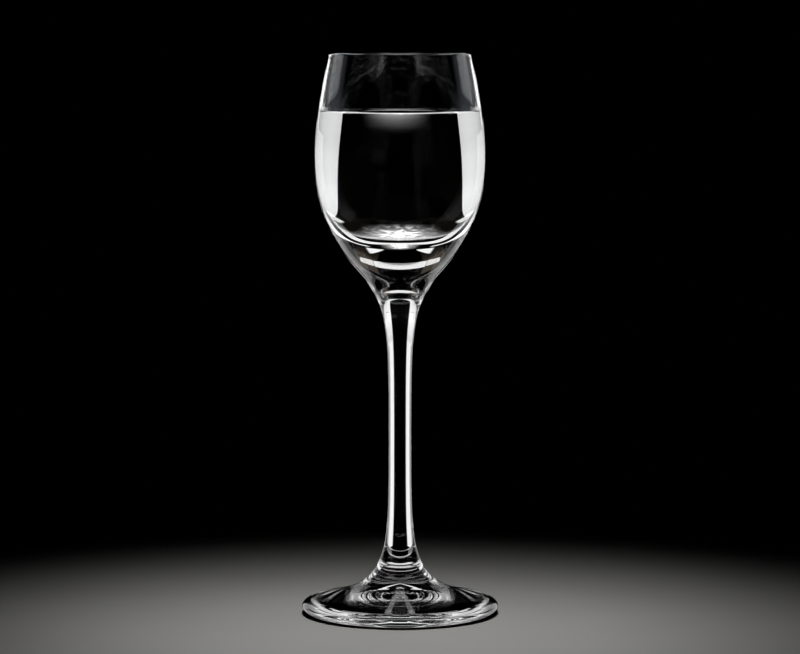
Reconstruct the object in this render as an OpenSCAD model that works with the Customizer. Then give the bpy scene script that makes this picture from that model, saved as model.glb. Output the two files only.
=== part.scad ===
// Stemmed cordial glass, part filled with a clear cordial.
// Three pieces of clear glass are fused hot, end to end:
// a blown bowl with a thick heel, a drawn stem and a spread foot with a rounded rim.
// Millimetres. The glass stands on Z = 0 with its axis on +Z.

/* [Bowl] */
// Height of the bowl, from its seam with the stem to the rim
bowl_h = 67.5; // [60:0.5:80]
// Outer diameter at the rim
rim_d = 41; // [36:0.2:46]
// Outer diameter at the belly, the widest place
belly_d = 48.7; // [46:0.1:56]
// Height of the belly above the seam
belly_h = 39.6; // [34:0.1:46]
// How sharply the side turns in above the belly, 2 being a parabola
rim_turn_power = 1.65; // [1.3:0.05:2.4]
// Thickness of the wall at the fire-polished lip
lip_t = 1.2; // [0.8:0.1:2]
// Thickness of the side at the belly, not counting how it thickens towards the heel
side_t = 1.65; // [0.9:0.05:2.4]
// Height above the seam at which the side starts to thicken downwards
thicken_h = 52; // [46:0.5:58]
// How gently the thickening sets in, 1 being at once
thicken_power = 1.35; // [1.1:0.05:2]
// How full the bottom of the cavity is, 2 being a parabola
bottom_power = 3.25; // [2:0.05:4]
// Solid glass in the heel, between the seam and the bottom of the cavity
heel_t = 16.4; // [10:0.1:24]
// Outer diameter at the throat, where the bowl's curve turns to meet the stem
throat_d = 21.4; // [19:0.1:26]
// Height of the throat above the seam
throat_h = 4.5; // [3:0.1:7]
// Slope of the throat, in degrees from the axis
throat_deg = 43.5; // [36:0.5:50]
// Reach of the belly's round towards the throat, as a share of the height between them
belly_pull_share = 0.4; // [0.2:0.02:0.6]
// Reach of the throat's slope towards the belly, as a share of the height between them
throat_pull_share = 0.3; // [0.2:0.02:0.5]

/* [Drink] */
// Depth of the drink's surface below the rim
drink_drop = 17.2; // [10:0.1:36]
// Height that the drink climbs at the wall
meniscus_h = 0.9; // [0.2:0.1:1.6]
// Distance from the wall over which that climb falls off
meniscus_w = 1.6; // [0.8:0.1:3]

/* [Stem] */
// Length of the stem, between its two seams
stem_l = 80.5; // [50:0.5:110]
// Diameter of the drawn rod at its top, without the flare
stem_top_d = 6.3; // [5:0.1:8]
// Diameter of the drawn rod at its foot, without the flare
stem_low_d = 6.6; // [5:0.1:8]
// Diameter of the seam between the stem and the bowl
top_seam_d = 15.5; // [13:0.1:18]
// Length over which the upper flare falls off
top_flare_l = 7.2; // [4:0.1:10]
// Length over which the lower flare falls off
low_flare_l = 6; // [3.5:0.1:8]
// Height of the dome that each seam makes at the axis
seam_dome_h = 1.2; // [0.4:0.1:2.4]

/* [Foot] */
// Height of the foot, from the table to its seam with the stem
foot_h = 12; // [10:0.5:16]
// Diameter of the foot
foot_d = 56.2; // [48:0.2:66]
// Diameter of the seam between the foot and the stem
low_seam_d = 15.6; // [12:0.1:18]
// Height of the foot's edge, where its rounded rim begins
edge_h = 4.2; // [3:0.1:5]
// Height of the widest place on the rim
rim_round_h = 2.1; // [1:0.1:2.6]
// Width of the round over the rim
over_round_w = 2.8; // [1:0.1:4]
// Width of the round under the rim
under_round_w = 4.5; // [1:0.1:6]
// Slope of the foot's top where it runs into the rim, in degrees
edge_deg = 9; // [4:0.5:14]
// Reach of the flare into the foot, as a share of the foot's fall to its edge
flare_pull_share = 0.62; // [0.1:0.02:0.8]
// Reach of the top's slope towards the axis, as a share of the top's width
edge_pull_share = 0.28; // [0.1:0.02:0.8]
// Width of the flat ring that stands on the table
rest_ring_w = 1; // [0.5:0.1:2]
// Height of the hollow under the foot at the axis
hollow_h = 5.7; // [5:0.1:8]
// Slope of the hollow where it leaves the ring, in degrees
hollow_deg = 15; // [8:0.5:20]
// Reach of the hollow's slope towards the axis, as a share of its radius
hollow_pull_share = 0.75; // [0.4:0.05:0.9]
// Reach of the hollow's round tip, as a share of its radius
hollow_tip_share = 0.04; // [0.02:0.02:0.3]

/* [Hidden] */
// Steps along each curve, and facets round each turned piece
curve_steps = 36;
$fn = 128;
glass_tint = [0.93, 0.96, 0.97, 0.35];
drink_tint = [0.96, 0.97, 0.98, 0.45];
// Heights of the seams, the belly, the rim and the cavity's bottom above the table
low_seam_z = foot_h;
top_seam_z = low_seam_z + stem_l;
belly_z = top_seam_z + belly_h;
rim_z = top_seam_z + bowl_h;
cavity_z = top_seam_z + heel_t;
thicken_z = top_seam_z + thicken_h;
throat_z = top_seam_z + throat_h;
// Radii
rim_r = rim_d / 2;
belly_r = belly_d / 2;
throat_r = throat_d / 2;
top_seam_r = top_seam_d / 2;
low_seam_r = low_seam_d / 2;
foot_r = foot_d / 2;
// The lip is half a circle that leans in with the wall and runs into it on both sides
lip_r = lip_t / 2;
lip_z = rim_z - lip_r;
lip_lean = atan(rim_turn_power * (belly_r - rim_r) / (rim_z - belly_z));
lip_out_z = lip_z + lip_r * sin(lip_lean);
lip_axis_r = outer_r(lip_out_z) - lip_r * cos(lip_lean);
lip_in_z = lip_z - lip_r * sin(lip_lean);
lip_in_r = lip_axis_r - lip_r * cos(lip_lean);
lip_side_t = outer_r(lip_in_z) - lip_in_r;
// The line where the drink meets the wall
drink_z = rim_z - drink_drop;
wet_z = drink_z + meniscus_h;
wet_r = cavity_r(wet_z);
// Slopes of the two flares at the seams, as radius gained for each millimetre of height
top_flare_slope = (top_seam_d - stem_top_d) / 2 / top_flare_l;
low_flare_slope = (low_seam_d - stem_low_d) / 2 / low_flare_l;
// Reach of a cubic curve's pulls that makes a quarter turn round, as a share of its radius
quarter_pull_share = 0.5523;

// Steps from 0 to 1
function steps() = [for (i = [0:curve_steps]) i / curve_steps];

// A cubic curve from a to b, pulled towards the points p and q
function curve(a, p, q, b) =
    [
        for (t = steps())
            pow(1 - t, 3) * a + 3 * pow(1 - t, 2) * t * p + 3 * (1 - t) * t * t * q + pow(t, 3) * b,
    ];

// A round cap of height h, from its rim of radius r at height z in to the axis
function cap(r, z, h) =
    let (ball_r = (r * r + h * h) / (2 * h), half = 2 * atan(h / r))
    [for (t = steps()) [ball_r * sin(half * (1 - t)), z + h - ball_r + ball_r * cos(half * (1 - t))]];

// The same points from the other end
function flipped(points) = [for (i = [len(points) - 1:-1:0]) points[i]];

// The bowl's outer radius above the belly
function outer_r(z) = belly_r - (belly_r - rim_r) * pow((z - belly_z) / (rim_z - belly_z), rim_turn_power);

// The thickness of the side at height z, without its thickening towards the heel
function thin_side_t(z) = side_t + (lip_side_t - side_t) * max(0, (z - belly_z) / (lip_in_z - belly_z));

// The cavity's radius at height z: the outside less the side, drawn in to the axis over the heel
function cavity_r(z) =
    let (drop_share = max(0, (thicken_z - z) / (thicken_z - cavity_z)))
    (outer_r(max(z, belly_z)) - thin_side_t(z)) * pow(1 - pow(drop_share, thicken_power), 1 / bottom_power);

// The cavity's wall from its bottom up to the edge of the drink, in finer steps along the bottom
function wet_wall() =
    [for (t = steps()) let (z = cavity_z + (wet_z - cavity_z) * pow(t, bottom_power)) [cavity_r(z), z]];

// The cavity's wall from the edge of the drink up to the lip
function dry_wall() = [for (t = steps()) let (z = wet_z + (lip_in_z - wet_z) * t) [cavity_r(z), z]];

// The lip, from the inside over the top to the outside
function lip() =
    [
        for (t = steps())
            let (angle = 180 + lip_lean - 180 * t)
            [lip_axis_r + lip_r * cos(angle), lip_z + lip_r * sin(angle)],
    ];

// The bowl's outside, from the lip down to the belly
function upper_side() = [for (t = steps()) let (z = lip_out_z + (belly_z - lip_out_z) * t) [outer_r(z), z]];

// The bowl's outside, from the belly down to the throat
function lower_side() =
    let (fall = belly_z - throat_z, pull = throat_pull_share * fall)
    curve(
        [belly_r, belly_z],
        [belly_r, belly_z - belly_pull_share * fall],
        [throat_r + pull * tan(throat_deg), throat_z + pull],
        [throat_r, throat_z]
    );

// The bowl's outside, from the throat down to the seam, which it meets along the stem's flare
function throat() =
    let (pull = throat_h / 3)
    curve(
        [throat_r, throat_z],
        [throat_r - pull * tan(throat_deg), throat_z - pull],
        [top_seam_r + pull * top_flare_slope, top_seam_z + pull],
        [top_seam_r, top_seam_z]
    );

// The stem's radius at height z: a tapered rod with a flare at each end
function stem_r(z) =
    let (rise = z - low_seam_z, taper = (stem_top_d - stem_low_d) / 2 / stem_l)
    stem_low_d / 2 + taper * rise
        + (top_seam_d - stem_top_d) / 2 * exp((rise - stem_l) / top_flare_l)
        + (low_seam_d - stem_low_d) / 2 * exp(-rise / low_flare_l);

// The stem's outside between its seams, downwards, in finer steps along the flares
function stem_side() =
    [
        for (t = steps())
            let (share = (1 - cos(180 * t)) / 2, z = top_seam_z - stem_l * share)
            [t == 0 ? top_seam_r : t == 1 ? low_seam_r : stem_r(z), z],
    ];

// The foot's top, from the seam out to its rim
function foot_top() =
    let (
        fall = low_seam_z - edge_h,
        width = foot_r - over_round_w - low_seam_r,
        drop = flare_pull_share * fall,
        reach = edge_pull_share * width
    )
    curve(
        [low_seam_r, low_seam_z],
        [low_seam_r + drop * low_flare_slope, low_seam_z - drop],
        [low_seam_r + width - reach, edge_h + reach * tan(edge_deg)],
        [low_seam_r + width, edge_h]
    );

// The round over the foot's rim, from its top out to its widest place
function over_round() =
    let (
        reach = quarter_pull_share * over_round_w,
        lift = quarter_pull_share * (edge_h - rim_round_h)
    )
    curve(
        [foot_r - over_round_w, edge_h],
        [foot_r - over_round_w + reach, edge_h - reach * tan(edge_deg)],
        [foot_r, rim_round_h + lift],
        [foot_r, rim_round_h]
    );

// The round under the foot's rim, down to the table
function under_round() =
    [for (t = steps()) [foot_r - under_round_w * (1 - cos(90 * t)), rim_round_h * (1 - sin(90 * t))]];

// The hollow under the foot, a cone with a round tip, from the ring in to the axis
function hollow() =
    let (
        ring_r = foot_r - under_round_w - rest_ring_w,
        reach = hollow_pull_share * ring_r
    )
    curve(
        [ring_r, 0],
        [ring_r - reach, reach * tan(hollow_deg)],
        [hollow_tip_share * ring_r, hollow_h],
        [0, hollow_h]
    );

// The drink's surface, from the wall in to the axis
function drink_surface() =
    [
        for (t = steps())
            let (r = wet_r * pow(1 - t, 2))
            [r, drink_z + meniscus_h * exp((r - wet_r) / meniscus_w)],
    ];

module turned(outline) {
    rotate_extrude() polygon(outline);
}

module bowl() {
    color(glass_tint)
        turned(concat(
            wet_wall(), dry_wall(), lip(), upper_side(), lower_side(), throat(),
            cap(top_seam_r, top_seam_z, seam_dome_h)
        ));
}

module stem() {
    color(glass_tint)
        turned(concat(
            flipped(cap(top_seam_r, top_seam_z, seam_dome_h)), stem_side(),
            cap(low_seam_r, low_seam_z, seam_dome_h)
        ));
}

module foot() {
    color(glass_tint)
        turned(concat(
            flipped(cap(low_seam_r, low_seam_z, seam_dome_h)), foot_top(), over_round(), under_round(),
            hollow()
        ));
}

module drink() {
    color(drink_tint)
        turned(concat(wet_wall(), drink_surface()));
}

bowl();
stem();
foot();
drink();
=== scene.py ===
"""Looks of a clear cordial glass: turned glass and drink, lit from the sides in a dark studio."""
import math

import bpy
import numpy as np
from mathutils import Matrix


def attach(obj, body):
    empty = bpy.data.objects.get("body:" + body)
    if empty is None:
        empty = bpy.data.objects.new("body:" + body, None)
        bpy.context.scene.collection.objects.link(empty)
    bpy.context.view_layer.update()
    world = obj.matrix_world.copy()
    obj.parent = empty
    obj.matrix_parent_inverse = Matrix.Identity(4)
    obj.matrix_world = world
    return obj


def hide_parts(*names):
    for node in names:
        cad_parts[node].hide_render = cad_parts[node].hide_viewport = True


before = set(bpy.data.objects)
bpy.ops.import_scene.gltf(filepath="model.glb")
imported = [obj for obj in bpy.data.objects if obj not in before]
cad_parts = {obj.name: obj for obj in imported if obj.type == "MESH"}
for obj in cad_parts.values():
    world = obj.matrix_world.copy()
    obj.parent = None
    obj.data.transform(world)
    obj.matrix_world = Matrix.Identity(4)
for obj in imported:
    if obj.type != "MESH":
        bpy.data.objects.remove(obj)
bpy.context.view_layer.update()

MM = 0.001

# Mesh of the turned pieces
TURN_STEPS = 192
PLACE_DIGITS = 7
HAIR = 1e-6
FLAT = 0.05e-6
SHARED_GAP = 3 * HAIR
CREASE = math.radians(24)
DRINK_FILM = 0.015 * MM
STRETCH = 0.5 * MM
SMOOTHINGS = 4
SMOOTHING_SHARE = 1 / 3

# Places in the lists of materials of the glass pieces and of the drink
DRY, WET, FUSED = range(3)
DRINK_TOP, DRINK_SIDE = range(2)

# Optics; noise is in cells per metre along X, Y and Z
GLASS_IOR = 1.52
DRINK_IOR = 1.36
GLASS_TINTS = (0.985, 0.992, 0.992), (1, 1, 1)
DRINK_TINTS = (0.99, 0.99, 0.985), (1, 1, 1)
CLOUDS = (60, 60, 60)
CLOUD_SPAN = (0.35, 0.65)
POLISH_SPAN = (0, 0.008)
WEAR_HEIGHTS = (0.02 * MM, 0.1 * MM)
WEAR_SPAN = (0.12, 0)
TURNING_MARKS = (40, 40, 350)
TURNING_DEPTH = 0.006 * MM
RIPPLES = (120, 120, 120)
RIPPLE_DEPTH = 0.008 * MM

# Floor
FLOOR_HALF = 1500 * MM
FLOOR_TINTS = (0.66, 0.65, 0.63), (0.72, 0.71, 0.69)
FLOOR_CLOUDS = (25, 25, 25)
FLOOR_GRAIN = (900, 900, 900)
GRAIN_DETAIL = 4
GRAIN_SPAN = (0.3, 0.7)
FLOOR_ROUGHNESS = (0.5, 0.7)
GRAIN_DEPTH = 0.03 * MM

# Camera, fitted to the outline in the photograph of 800 by 654 pixels
IMAGE_W = 800
CAMERA_DISTANCE = 900 * MM
CAMERA_HEIGHT = 161.5 * MM
CAMERA_PITCH = math.radians(5.0314)
FOCAL_PIXELS = 3171.5
SENSOR_W = 36.0

# Side wings, in plan on a line from rear to front, by shares of the way, and their low and high edges
WING_REAR = np.array([121, 300]) * MM
WING_FRONT = np.array([260, -10]) * MM
WING_END_SHARE = 0.57
EDGE_SHARES = (0.12, 0.3)
HIGH_SHARES = (-0.35, 0.1)
FRONT_SHARES = (0.45, 1)
LOW_WING = (-150 * MM, 80 * MM)
BAND_WING = (80 * MM, 145 * MM)
EDGE_WING = (145 * MM, 180 * MM)
HIGH_WING = (300 * MM, 360 * MM)
FRONT_WING = (120 * MM, 230 * MM)
CROWN_WING = (144 * MM, 420 * MM)

# Upright cards behind the glass, in millimetres: left, right, distance behind the axis, low, high
SKIRT_LEFT = (-34, -19.4, 100, 108, 118.5)
SKIRT_RIGHT = (19.4, 34, 100, 108, 118.5)
WATERLINE_CARD = (-34, 34, 106, 58, 84)
GLOW_CARD = (-11.3, 14.7, 100, 124, 130)
SPARKLE_CARD = (-14, 14, 103, 84, 120.5)
CROWN_CARD = (-121, 121, 300, 310, 420)

# Level cards, in millimetres: left, right, near, far, height
UNDER_NEAR = (-45, 45, 28, 52, -60)
UNDER_FAR = (-45, 45, 99, 126, -60)
OVERHEAD_STRIP = (-400, 400, -150, -70, 500)
CEILING_LEFT = (-500, -150, -350, 50, 450)
CEILING_RIGHT = (150, 500, -350, 50, 450)

# Colours of the light, and how it is graded: stops of (share of the way along, brightness)
WHITE = (1, 1, 1)
COOL = (0.86, 0.89, 1)
WARM = (1, 0.84, 0.68)
EVEN = ((0, 1), (1, 1))
FADED_END = ((0, 1), (0.85, 1), (1, 0))
FADED_ENDS = ((0, 0), (0.2, 1), (0.8, 1), (1, 0))
PEAKED = ((0, 0), (0.5, 1), (1, 0))

# Pool of light on the floor
POOL_ENERGY = 4
POOL_CONE = math.radians(32)
POOL_SOFT = 60 * MM
POOL_PLACE = (0, -40 * MM, 500 * MM)

# Bounces of light: enough to cross many clear surfaces
CLEAR_BOUNCES = 32
GLOSSY_BOUNCES = 12


def section(node):
    """The outline of a turned node, as its corners (radius, height) from one end of the axis to the other."""
    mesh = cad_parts[node].data
    places = [(math.hypot(v.co.x, v.co.y), v.co.z) for v in mesh.vertices]
    points = [(round(r, PLACE_DIGITS), round(z, PLACE_DIGITS)) for r, z in places]
    links = {p: set() for p in points}
    for edge in mesh.edges:
        a, b = (points[i] for i in edge.vertices)
        if a != b:
            links[a].add(b)
            links[b].add(a)
    outline = [min(links)]
    left = set(links) - set(outline)
    while left:
        here = outline[-1]
        there = min(links[here] & left or left, key=lambda p: math.dist(here, p))
        outline.append(there)
        left.remove(there)
    for end in (0, -1):
        outline.insert(len(outline) * -end, (0.0, outline[end][1]))
    corners = outline[:1]
    for here, there in zip(outline[1:], outline[2:]):
        if math.dist(corners[-1], here) > HAIR and off_line(here, corners[-1], there) > FLAT:
            corners.append(here)
    corners.append(outline[-1])
    corners = np.array(corners)
    r, z = corners.T
    if np.sum(r[:-1] * z[1:] - r[1:] * z[:-1]) < 0:
        corners = corners[::-1]
    return corners


def off_line(point, a, b):
    """How far a point lies from the line through a and b."""
    (x, y), (ax, ay), (bx, by) = point, a, b
    return abs((bx - ax) * (y - ay) - (by - ay) * (x - ax)) / max(math.dist(a, b), HAIR)


SECTIONS = {node: section(node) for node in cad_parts}


def shared_with(node, other):
    """For each stretch of the node's outline, whether the other node's outline runs along it too."""
    points = SECTIONS[node][:, None]
    a, b = SECTIONS[other][None, :-1], SECTIONS[other][None, 1:]
    share = np.clip(np.sum((points - a) * (b - a), axis=2) / np.sum((b - a) ** 2, axis=2), 0, 1)
    gaps = np.linalg.norm(points - a - share[..., None] * (b - a), axis=2).min(axis=1)
    on_other = gaps < SHARED_GAP
    return on_other[:-1] & on_other[1:]


def course(outline):
    """The steps between an outline's corners, their lengths, and which of its inner corners are creases."""
    steps = np.diff(outline, axis=0)
    lengths = np.linalg.norm(steps, axis=1)[:, None]
    headings = np.unwrap(np.arctan2(steps[:, 1], steps[:, 0]))
    return steps, lengths, np.abs(np.diff(headings)) > CREASE


def rounded(outline, slots):
    """The outline with its smooth runs of corners turned into curves of short stretches, and their slots."""
    outline = outline.copy()
    for _ in range(SMOOTHINGS):
        steps, lengths, creased = course(outline)
        before, after = lengths[:-1], lengths[1:]
        chord = (after * outline[:-2] + before * outline[2:]) / (before + after)
        outline[1:-1] += np.where(creased[:, None], 0, (chord - outline[1:-1]) * SMOOTHING_SHARE)
    steps, lengths, creased = course(outline)
    before, after = lengths[:-1], lengths[1:]
    slopes = steps / lengths
    blend = (after * slopes[:-1] + before * slopes[1:]) / (before + after)
    starts, ends = slopes.copy(), slopes.copy()
    ends[:-1][~creased] = blend[~creased]
    starts[1:][~creased] = blend[~creased]
    points, fine_slots = [outline[0]], []
    for a, b, length, m, n, slot in zip(outline, outline[1:], lengths[:, 0], starts, ends, slots):
        count = max(1, round(length / STRETCH))
        for i in range(1, count + 1):
            t = i / count
            u = 1 - t
            bend = length * t * u * (u * m - t * n)
            points.append(u * u * (1 + 2 * t) * a + t * t * (1 + 2 * u) * b + bend)
            fine_slots.append(slot)
    return np.array(points), fine_slots


def turned(name, outline, slots, materials):
    """A closed mesh of an outline turned about +Z, with one material slot to each stretch of the outline."""
    angles = np.linspace(0, 2 * math.pi, TURN_STEPS, endpoint=False)
    verts, rings = [], []
    for r, z in outline:
        if r < HAIR:
            rings.append([len(verts)] * TURN_STEPS)
            verts.append((0.0, 0.0, z))
        else:
            rings.append(list(range(len(verts), len(verts) + TURN_STEPS)))
            verts.extend((r * math.cos(a), r * math.sin(a), z) for a in angles)
    faces, face_slots = [], []
    for low, high, slot in zip(rings, rings[1:], slots):
        for i in range(TURN_STEPS):
            j = (i + 1) % TURN_STEPS
            corners = [low[i], low[j], high[j], high[i]]
            faces.append(list(dict.fromkeys(corners)))
            face_slots.append(slot)
    mesh = bpy.data.meshes.new(name)
    mesh.from_pydata(verts, [], faces)
    mesh.polygons.foreach_set("material_index", face_slots)
    mesh.polygons.foreach_set("use_smooth", [True] * len(faces))
    for material in materials:
        mesh.materials.append(material)
    mesh.set_sharp_from_angle(angle=CREASE)
    mesh.update()
    piece = bpy.data.objects.new(name, mesh)
    bpy.context.scene.collection.objects.link(piece)
    return piece


def new_material(name):
    """An empty node material, its nodes and links, and its output node."""
    material = bpy.data.materials.new(name)
    material.use_nodes = True
    nodes = material.node_tree.nodes
    nodes.clear()
    output = nodes.new("ShaderNodeOutputMaterial")
    return material, nodes, material.node_tree.links, output


def maths(nodes, links, operation, *values):
    """The socket of a sum; each value is a number or a socket."""
    node = nodes.new("ShaderNodeMath")
    node.operation = operation
    for socket, value in zip(node.inputs, values):
        if isinstance(value, (int, float)):
            socket.default_value = value
        else:
            links.new(value, socket)
    return node.outputs["Value"]


def texture(nodes, links, scale, detail=2.0):
    """A noise socket in object space: scale gives its cells per metre along X, Y and Z."""
    place = nodes.new("ShaderNodeTexCoord")
    stretch = nodes.new("ShaderNodeMapping")
    stretch.inputs["Scale"].default_value = scale
    links.new(place.outputs["Object"], stretch.inputs["Vector"])
    return noisy(nodes, links, stretch.outputs["Vector"], detail)


def noisy(nodes, links, vector, detail=2.0):
    """A noise socket with cells of 1 along the vector."""
    noise = nodes.new("ShaderNodeTexNoise")
    noise.inputs["Scale"].default_value = 1.0
    noise.inputs["Detail"].default_value = detail
    links.new(vector, noise.inputs["Vector"])
    return noise.outputs["Fac"]


def spread(nodes, links, value, span, out_span):
    """A socket that takes one span of the value to another."""
    node = nodes.new("ShaderNodeMapRange")
    for label, level in zip(("From Min", "From Max", "To Min", "To Max"), (*span, *out_span)):
        node.inputs[label].default_value = level
    links.new(value, node.inputs["Value"])
    return node.outputs["Result"]


def tinted(nodes, links, value, low, high):
    """A colour socket that goes from the low colour to the high one with the value."""
    node = nodes.new("ShaderNodeValToRGB")
    for element, color in zip(node.color_ramp.elements, (low, high)):
        element.color = (*color, 1)
    links.new(value, node.inputs["Fac"])
    return node.outputs["Color"]


def bumped(nodes, links, height, distance):
    """A normal socket for a height of 0 to 1 that stands for that distance."""
    node = nodes.new("ShaderNodeBump")
    node.inputs["Distance"].default_value = distance
    links.new(height, node.inputs["Height"])
    return node.outputs["Normal"]


def clear(name, ior, tints, marks, mark_depth):
    """A clear, polished surface with that index against what lies outside it.

    The marks are its faint waves, in cells per metre; where it stands on the floor it is worn and matt.
    """
    material, nodes, links, output = new_material(name)
    shader = nodes.new("ShaderNodeBsdfPrincipled")
    shader.inputs["IOR"].default_value = ior
    shader.inputs["Transmission Weight"].default_value = 1.0
    cloud = texture(nodes, links, CLOUDS)
    links.new(tinted(nodes, links, cloud, *tints), shader.inputs["Base Color"])
    polish = spread(nodes, links, cloud, CLOUD_SPAN, POLISH_SPAN)
    place = nodes.new("ShaderNodeTexCoord")
    split = nodes.new("ShaderNodeSeparateXYZ")
    links.new(place.outputs["Object"], split.inputs["Vector"])
    worn = spread(nodes, links, split.outputs["Z"], WEAR_HEIGHTS, WEAR_SPAN)
    links.new(maths(nodes, links, "MAXIMUM", polish, worn), shader.inputs["Roughness"])
    links.new(bumped(nodes, links, texture(nodes, links, marks), mark_depth), shader.inputs["Normal"])
    links.new(shader.outputs["BSDF"], output.inputs["Surface"])
    return material


def fused(name):
    """A seam inside one mass of glass, which shows nothing."""
    material, nodes, links, output = new_material(name)
    shader = nodes.new("ShaderNodeBsdfTransparent")
    links.new(shader.outputs["BSDF"], output.inputs["Surface"])
    return material


def matt(name):
    """A pale, matt floor with a fine grain."""
    material, nodes, links, output = new_material(name)
    shader = nodes.new("ShaderNodeBsdfPrincipled")
    grain = texture(nodes, links, FLOOR_GRAIN, GRAIN_DETAIL)
    cloud = texture(nodes, links, FLOOR_CLOUDS)
    links.new(tinted(nodes, links, cloud, *FLOOR_TINTS), shader.inputs["Base Color"])
    links.new(spread(nodes, links, grain, GRAIN_SPAN, FLOOR_ROUGHNESS), shader.inputs["Roughness"])
    links.new(bumped(nodes, links, grain, GRAIN_DEPTH), shader.inputs["Normal"])
    shader.inputs["Specular IOR Level"].default_value = 0.0
    links.new(shader.outputs["BSDF"], output.inputs["Surface"])
    return material


# Glass: dry outside, wetted by the drink inside the bowl, and fused at the seams
dry_glass = clear("clear_glass", GLASS_IOR, GLASS_TINTS, TURNING_MARKS, TURNING_DEPTH)
wet_glass = clear("wetted_glass", GLASS_IOR / DRINK_IOR, GLASS_TINTS, TURNING_MARKS, TURNING_DEPTH)
drink_top = clear("drink_surface", DRINK_IOR, DRINK_TINTS, RIPPLES, RIPPLE_DEPTH)
seam = fused("fused_seam")

for node in ("bowl", "stem", "foot"):
    slots = np.full(len(SECTIONS[node]) - 1, DRY)
    for other in SECTIONS:
        if other != node:
            slots[shared_with(node, other)] = WET if other == "drink" else FUSED
    piece = turned("clear_" + node, *rounded(SECTIONS[node], slots.tolist()), [dry_glass, wet_glass, seam])
    piece.visible_shadow = node == "foot"
    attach(piece, "root")
    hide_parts(node)

# Drink: its side stands a film's breadth off the wetted glass, which bends the light for both
outline = SECTIONS["drink"].copy()
against_glass = shared_with("drink", "bowl")
side = np.append(against_glass, False) | np.append(False, against_glass)
outline[side, 0] = np.maximum(outline[side, 0] - DRINK_FILM, 0)
slots = np.where(against_glass, DRINK_SIDE, DRINK_TOP)
piece = turned("clear_drink", *rounded(outline, slots.tolist()), [drink_top, seam])
piece.visible_shadow = False
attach(piece, "root")
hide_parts("drink")

# Floor, which isn't seen through the glass or in it
mesh = bpy.data.meshes.new("floor")
corners = [(x * FLOOR_HALF, y * FLOOR_HALF, 0.0) for x, y in ((-1, -1), (1, -1), (1, 1), (-1, 1))]
mesh.from_pydata(corners, [], [(0, 1, 2, 3)])
mesh.materials.append(matt("pale_floor"))
floor = bpy.data.objects.new("floor", mesh)
bpy.context.scene.collection.objects.link(floor)
floor.visible_transmission = False
floor.visible_glossy = False

world = bpy.data.worlds.new("dark_studio")
world.use_nodes = True
world.node_tree.nodes["Background"].inputs["Color"].default_value = (0.0, 0.0, 0.0, 1)
bpy.context.scene.world = world


def receivers(name, *pieces):
    """A collection of the pieces that some of the lights light alone."""
    collection = bpy.data.collections.new(name)
    for piece in pieces:
        collection.objects.link(bpy.data.objects[piece])
    return collection


def softbox(name, corner, across, up, radiance, shade, color=WHITE, onto=None):
    """A light on the rectangle that two edges span from a corner, on the side from which they run clockwise.

    shade(nodes, links, across_share, up_share) returns the socket that grades its brightness. Neither the
    camera nor the floor sees the light, and where onto is a collection it lights that alone.
    """
    corner, across, up = (np.array(v, float) for v in (corner, across, up))
    width, height = np.linalg.norm(across), np.linalg.norm(up)
    data = bpy.data.lights.new(name, "AREA")
    data.shape = "RECTANGLE"
    data.size, data.size_y = width, height
    data.energy = radiance * math.pi * width * height
    data.color = color
    data.use_nodes = True
    nodes, links = data.node_tree.nodes, data.node_tree.links
    place = nodes.new("ShaderNodeNewGeometry")
    split = nodes.new("ShaderNodeSeparateXYZ")
    links.new(place.outputs["Parametric"], split.inputs["Vector"])
    brightness = shade(nodes, links, split.outputs["X"], split.outputs["Y"])
    links.new(brightness, nodes["Emission"].inputs["Strength"])
    lamp = bpy.data.objects.new(name, data)
    x, y = across / width, up / height
    centre = corner + (across + up) / 2
    rows = [(*row, c) for row, c in zip(np.array([x, y, np.cross(x, y)]).T, centre)]
    lamp.matrix_world = Matrix(rows + [(0, 0, 0, 1)])
    lamp.visible_camera = False
    lamp.visible_diffuse = False
    if onto is not None:
        lamp.light_linking.receiver_collection = onto
    bpy.context.scene.collection.objects.link(lamp)


def upright(name, card, radiance, shade, onto):
    """An upright card behind the glass, which faces the camera."""
    left, right, back, low, high = (MM * v for v in card)
    softbox(name, (right, back, low), (left - right, 0, 0), (0, 0, high - low), radiance, shade, onto=onto)


def level(name, card, radiance, shade, color=WHITE, upward=False):
    """A level card, which shines down unless it is said to shine upward."""
    left, right, near, far, height = (MM * v for v in card)
    start, end = (right, left) if upward else (left, right)
    softbox(name, (start, near, height), (end - start, 0, 0), (0, far - near, 0), radiance, shade, color)


def wings(name, shares, heights, radiance, along, up=EVEN, color=WHITE, onto=None):
    """A mirrored pair of upright lights, between two shares of the way from the rear to the front edge."""
    low, high = heights
    for label, side in (("_left", -1), ("_right", 1)):
        a, b = ((WING_REAR + share * (WING_FRONT - WING_REAR)) * (side, 1) for share in shares)
        stops = along
        if side > 0:
            a, b = b, a
            stops = [(1 - at, brightness) for at, brightness in reversed(along)]
        across, rise = (*(b - a), 0), (0, 0, high - low)
        softbox(name + label, (*a, low), across, rise, radiance, graded(stops, up), color, onto)


def ramp(nodes, links, value, stops):
    """A socket that follows the stops, each an (at, brightness) pair."""
    node = nodes.new("ShaderNodeValToRGB")
    node.color_ramp.interpolation = "EASE"
    elements = node.color_ramp.elements
    while len(elements) < len(stops):
        elements.new(0.5)
    for element, (at, brightness) in zip(elements, stops):
        element.position = at
        element.color = (brightness, brightness, brightness, 1)
    links.new(value, node.inputs["Fac"])
    return node.outputs["Color"]


def graded(across_stops, up_stops):
    """A shade that follows stops along both edges of the light."""
    def shade(nodes, links, across, up):
        along = ramp(nodes, links, across, across_stops)
        return maths(nodes, links, "MULTIPLY", along, ramp(nodes, links, up, up_stops))
    return shade


def glowing(nodes, links, across, up):
    """A shade that is brightest in the middle of the top edge."""
    rise_power = 2.5
    rise = maths(nodes, links, "POWER", up, rise_power)
    return maths(nodes, links, "MULTIPLY", ramp(nodes, links, across, PEAKED), rise)


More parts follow.
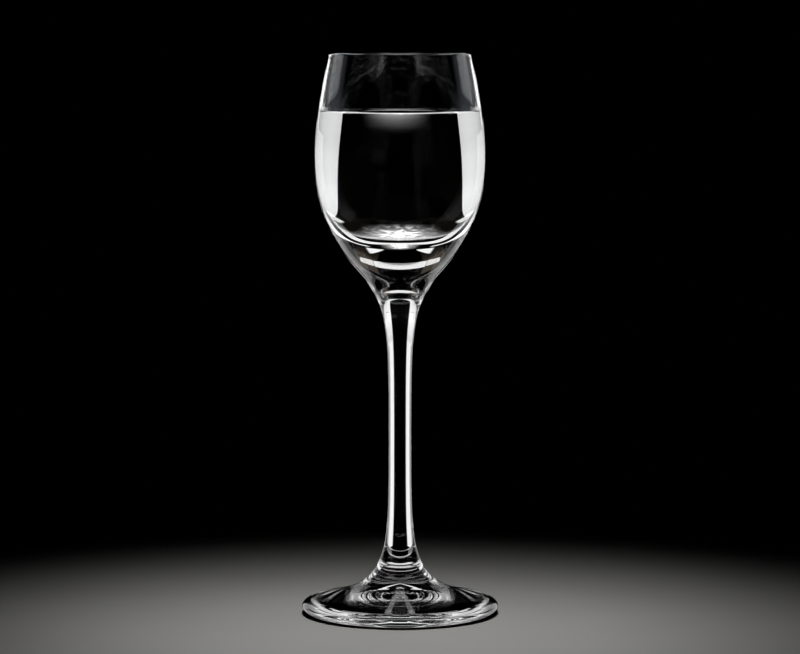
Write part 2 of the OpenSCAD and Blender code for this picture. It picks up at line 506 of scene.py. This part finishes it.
def sparkling(nodes, links, across, up):
    """A shade of specks in a haze, brightest in the middle and fading towards the top."""
    cells_across, cells_up = 11, 13
    spot = nodes.new("ShaderNodeCombineXYZ")
    links.new(maths(nodes, links, "MULTIPLY", across, cells_across), spot.inputs["X"])
    links.new(maths(nodes, links, "MULTIPLY", up, cells_up), spot.inputs["Y"])
    noise = noisy(nodes, links, spot.outputs["Vector"])
    specks = ramp(nodes, links, noise, ((0.46, 0), (0.53, 0.25), (0.6, 1)))
    middle = ramp(nodes, links, across, ((0, 0), (0.2, 0.1), (0.5, 1), (0.8, 0.1), (1, 0)))
    haze = ramp(nodes, links, across, ((0, 0), (0.5, 0.2), (1, 0)))
    fade = ((0, 0.8), (0.16, 1), (0.57, 1), (0.8, 0.7), (0.88, 0.45), (0.93, 0.2), (0.97, 0.06), (1, 0))
    light = maths(nodes, links, "MULTIPLY_ADD", specks, middle, haze)
    return maths(nodes, links, "MULTIPLY", light, ramp(nodes, links, up, fade))


near_bowl = receivers("near_bowl", "clear_bowl", "clear_drink")
stem_alone = receivers("stem_alone", "clear_stem")

# White bands down both sides of the stem and the bowl, and a white edge on the bowl above the drink
low_stops = ((0, 0.9), (0.25, 1), (0.65, 1), (0.75, 0.45), (1, 0.45))
wings("low", (0, WING_END_SHARE), LOW_WING, radiance=1, along=low_stops)
band_stops = ((0, 0.9), (0.25, 1), (1, 1))
band_rise = ((0, 0.95), (0.12, 0.8), (0.4, 0.93), (0.8, 1.12), (1, 1.12))
wings("middle", (0, WING_END_SHARE), BAND_WING, radiance=1, along=band_stops, up=band_rise)
edge_rise = ((0, 1), (0.8, 1), (1, 0))
wings("edge", EDGE_SHARES, EDGE_WING, radiance=1.8, along=FADED_END, up=edge_rise)

# Bright patches in the heel
wings("high", HIGH_SHARES, HIGH_WING, radiance=1.1, along=FADED_END, onto=near_bowl)

# Dim bands on the front of the bowl
front_stops = ((0, 0), (0.08, 1), (0.8, 0.85), (1, 0))
wings("front", FRONT_SHARES, FRONT_WING, radiance=0.2, along=front_stops, color=COOL)

# Lower ends of the bands, the lines round the surface and the bottom of the drink, and the light under both
soft_right = ((0, 0), (0.14, 1), (1, 1))
soft_left = ((0, 1), (0.86, 1), (1, 0))
upright("skirt_left", SKIRT_LEFT, radiance=1, shade=graded(soft_right, EVEN), onto=near_bowl)
upright("skirt_right", SKIRT_RIGHT, radiance=1, shade=graded(soft_left, EVEN), onto=near_bowl)
upright("waterline", WATERLINE_CARD, radiance=1, shade=graded(EVEN, EVEN), onto=near_bowl)
upright("glow", GLOW_CARD, radiance=0.5, shade=glowing, onto=near_bowl)
upright("sparkle", SPARKLE_CARD, radiance=3.2, shade=sparkling, onto=near_bowl)

# Arcs at the foot of the stem, from below the level of the floor
level("under_near", UNDER_NEAR, radiance=0.8, shade=graded(FADED_ENDS, EVEN), upward=True)
level("under_far", UNDER_FAR, radiance=0.8, shade=graded(FADED_ENDS, EVEN), upward=True)

# Arch at the top of the stem
wings("crown", (0, WING_END_SHARE), CROWN_WING, radiance=1, along=EVEN, onto=stem_alone)
upright("crown_rear", CROWN_CARD, radiance=1, shade=graded(EVEN, EVEN), onto=stem_alone)

# Bright curve in the heel, and a dim warm ceiling on both sides of it
level("overhead", OVERHEAD_STRIP, radiance=0.9, shade=graded(EVEN, EVEN))
level("ceiling_left", CEILING_LEFT, radiance=0.07, shade=graded(EVEN, EVEN), color=WARM)
level("ceiling_right", CEILING_RIGHT, radiance=0.07, shade=graded(EVEN, EVEN), color=WARM)

# Pool of light on the floor, which the glass doesn't show
data = bpy.data.lights.new("pool", "SPOT")
data.energy = POOL_ENERGY
data.spot_size = POOL_CONE
data.spot_blend = 1.0
data.shadow_soft_size = POOL_SOFT
pool = bpy.data.objects.new("pool", data)
pool.location = POOL_PLACE
pool.visible_glossy = False
pool.visible_transmission = False
bpy.context.scene.collection.objects.link(pool)

# Camera
camera_data = bpy.data.cameras.new("camera")
camera_data.sensor_width = SENSOR_W
camera_data.lens = FOCAL_PIXELS / IMAGE_W * SENSOR_W
camera = bpy.data.objects.new("camera", camera_data)
camera.location = (0, -CAMERA_DISTANCE, CAMERA_HEIGHT)
camera.rotation_euler = (math.pi / 2 - CAMERA_PITCH, 0, 0)
bpy.context.scene.collection.objects.link(camera)
bpy.context.scene.camera = camera

# Plain colours, and light that crosses many clear surfaces
scene = bpy.context.scene
scene.view_settings.view_transform = "Standard"
scene.cycles.max_bounces = CLEAR_BOUNCES
scene.cycles.transmission_bounces = CLEAR_BOUNCES
scene.cycles.transparent_max_bounces = CLEAR_BOUNCES
scene.cycles.glossy_bounces = GLOSSY_BOUNCES
scene.cycles.caustics_refractive = False
scene.cycles.caustics_reflective = False
